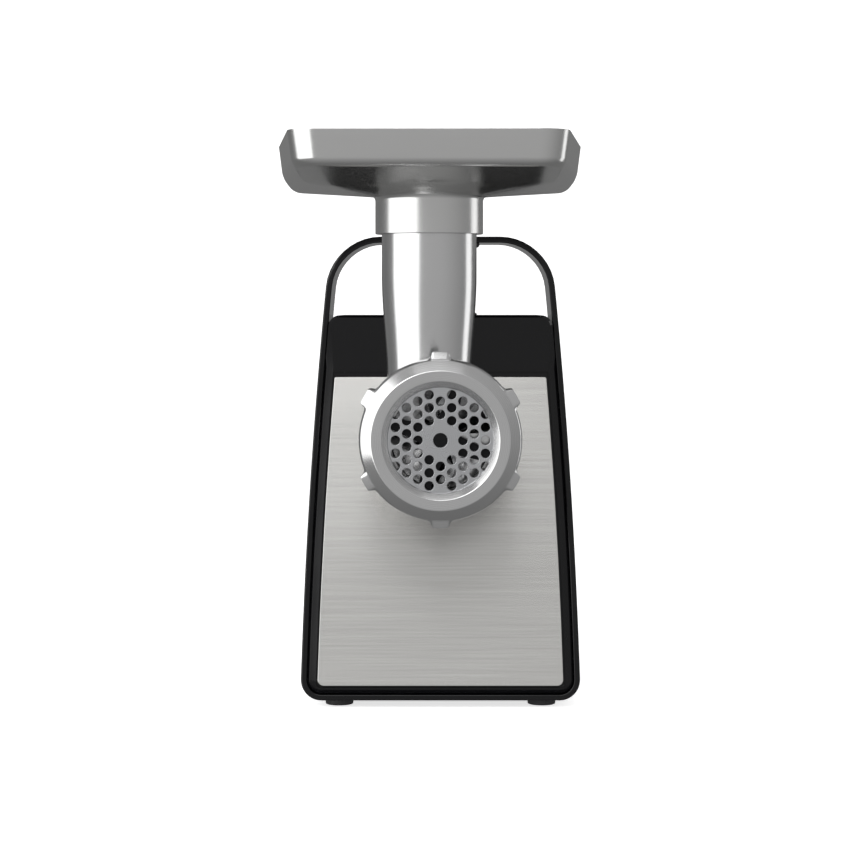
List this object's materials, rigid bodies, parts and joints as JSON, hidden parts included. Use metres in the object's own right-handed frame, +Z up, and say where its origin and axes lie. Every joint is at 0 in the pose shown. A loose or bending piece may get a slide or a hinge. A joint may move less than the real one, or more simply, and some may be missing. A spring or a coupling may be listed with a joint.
{
  "type": "electric meat grinder",
  "caption": "Electric meat grinder: leaning black housing with steel front and carrying loop, removable cast grinding head with auger, knife, hole plate, ring nut and hopper tray.",
  "frame": {"origin": "centre of the whole outline seen from above, on the table", "axes": "+Z up; the grinding head and the steel front face -Y; +X is to the right seen from the front"},
  "size_m": [0.176, 0.3008, 0.3214],
  "materials": {
    "gloss_black": "polished black ABS",
    "matt_black": "fine grained black plastic",
    "rubber": "soft matt rubber",
    "brushed_steel": "horizontally brushed stainless steel",
    "cast_aluminium": "satin polished die-cast aluminium",
    "socket_aluminium": "machined casting",
    "ground_steel": "ground hardened steel",
    "machined_steel": "turned steel",
    "motor_steel": "zinc plated and lacquered sheet",
    "laminations": "varnished laminations",
    "copper": "turned copper",
    "bronze": "sintered bronze",
    "acetal": "natural acetal",
    "circuit_board": "green lacquered board"
  },
  "bodies": {
    "housing": {"loop_frame": "gloss_black", "handle_grip": "rubber", "front_bezel": "gloss_black", "front_panel": "brushed_steel", "housing_shell": "gloss_black", "rear_cover": "gloss_black", "base_plate": "matt_black", "rubber_feet": "rubber", "housing_screws": "machined_steel", "head_socket": "socket_aluminium", "button_spring": "machined_steel", "rocker_bezel": "gloss_black", "cord_gland": "matt_black", "control_board": "circuit_board", "motor_can": "motor_steel", "stator_core": "laminations", "brush_holders": "matt_black", "front_bearing": "machined_steel", "rear_bearing": "machined_steel", "gearbox_case": "socket_aluminium", "gearbox_cover": "socket_aluminium", "output_bearing": "machined_steel"},
    "release": {"release_button": "gloss_black", "latch_plate": "ground_steel"},
    "rocker": {"power_rocker": "gloss_black"},
    "rotor": {"rotor_shaft": "machined_steel", "armature": "laminations", "commutator": "copper", "motor_fan": "matt_black", "motor_pinion": "machined_steel"},
    "first_stage": {"first_gear": "acetal", "first_pinion": "machined_steel", "first_shaft": "machined_steel"},
    "second_stage": {"second_gear": "acetal", "second_pinion": "machined_steel", "second_shaft": "machined_steel"},
    "output": {"output_gear": "machined_steel", "output_shaft": "machined_steel"},
    "head": {"grinder_head": "cast_aluminium", "head_bush": "bronze"},
    "screw": {"auger": "cast_aluminium", "auger_shank": "machined_steel", "thrust_washer": "acetal", "knife": "ground_steel"},
    "plate": {"cutting_plate": "ground_steel"},
    "nut": {"ring_nut": "cast_aluminium"},
    "tray": {"hopper_tray": "cast_aluminium"}
  },
  "joints": [
    {"name": "release_press", "type": "slide", "parent": "housing", "child": "release", "axis": [0, 0, -1], "range_m": [0, 0.003], "stiffness_N_per_m": 900, "springref_m": -0.003, "deforming": ["button_spring"]},
    {"name": "rocker_tilt", "type": "hinge", "parent": "housing", "child": "rocker", "pos_m": [0.07645, 0.10258, 0.064], "axis": [0, 1, 0], "range_deg": [-9, 9]},
    {"name": "rotor_spin", "type": "hinge", "parent": "housing", "child": "rotor", "pos_m": [0.00665, 0.05458, 0.06231], "axis": [0, 1, 0], "continuous": true},
    {"name": "first_stage_spin", "type": "hinge", "parent": "housing", "child": "first_stage", "pos_m": [0.01542, 0.05458, 0.091], "axis": [0, 1, 0], "continuous": true},
    {"name": "second_stage_spin", "type": "hinge", "parent": "housing", "child": "second_stage", "pos_m": [0.0323, 0.05458, 0.12023], "axis": [0, 1, 0], "continuous": true},
    {"name": "output_spin", "type": "hinge", "parent": "housing", "child": "output", "pos_m": [0.0062, 0.05458, 0.1575], "axis": [0, 1, 0], "continuous": true},
    {"name": "head_pull", "type": "slide", "parent": "housing", "child": "head", "axis": [0, -1, 0], "range_m": [0, 0.055]},
    {"name": "auger_spin", "type": "hinge", "parent": "head", "child": "screw", "pos_m": [0.0062, 0.05458, 0.1575], "axis": [0, 1, 0], "continuous": true},
    {"name": "plate_out", "type": "slide", "parent": "head", "child": "plate", "axis": [0, -1, 0], "range_m": [0, 0.0095]},
    {"name": "nut_turn", "type": "hinge", "parent": "plate", "child": "nut", "pos_m": [0.0062, -0.12542, 0.1575], "axis": [0, -1, 0], "range_deg": [0, 1080]},
    {"name": "tray_lift", "type": "slide", "parent": "head", "child": "tray", "axis": [0, 0, 1], "range_m": [0, 0.045]}
  ],
  "couplings": [
    {"joint": "first_stage_spin", "follows": "rotor_spin", "ratio": -0.2},
    {"joint": "second_stage_spin", "follows": "rotor_spin", "ratio": 0.057143},
    {"joint": "output_spin", "follows": "rotor_spin", "ratio": -0.017143},
    {"joint": "auger_spin", "follows": "rotor_spin", "ratio": -0.017143},
    {"joint": "plate_out", "follows": "nut_turn", "m_per_rad": 0.00047746}
  ]
}
